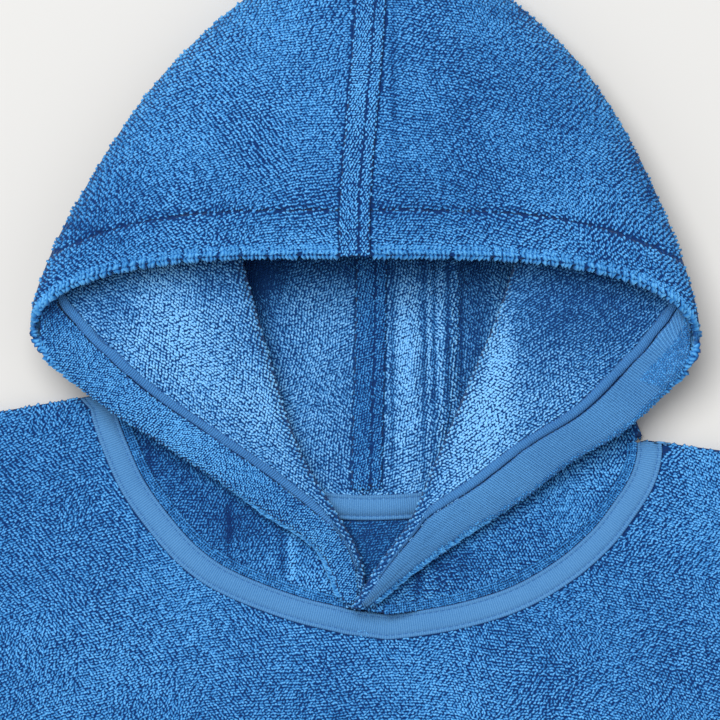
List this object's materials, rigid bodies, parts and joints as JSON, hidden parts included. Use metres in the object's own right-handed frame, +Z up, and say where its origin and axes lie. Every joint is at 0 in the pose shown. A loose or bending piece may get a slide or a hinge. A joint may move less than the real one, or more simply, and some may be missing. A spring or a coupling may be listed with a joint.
{
  "type": "hooded bath poncho",
  "caption": "Hooded towelling bath poncho laid flat, face up, with its hood opened and turned back at the sides and taped neck seams.",
  "frame": {"origin": "centre of the garment's outline, on the flat surface it lies on", "axes": "+Y points from the hem to the top of the hood, +Z up out of the front of the garment, +X to the viewer's right as the garment is looked at from the front"},
  "size_m": [0.8, 1.1888, 0.0539],
  "materials": {
    "towelling": "matte",
    "facing": "matte",
    "tape": "matte"
  },
  "bodies": {
    "root": {"body_front": "towelling", "body_back": "towelling", "hood_left": "towelling", "hood_right": "towelling", "hood_seam_outer": "towelling", "hood_seam_inner": "towelling", "hood_facing_left": "facing", "hood_facing_right": "facing", "hood_tape_left": "tape", "hood_tape_right": "tape", "neck_tape_front": "tape", "neck_tape_back": "tape"}
  },
  "joints": []
}
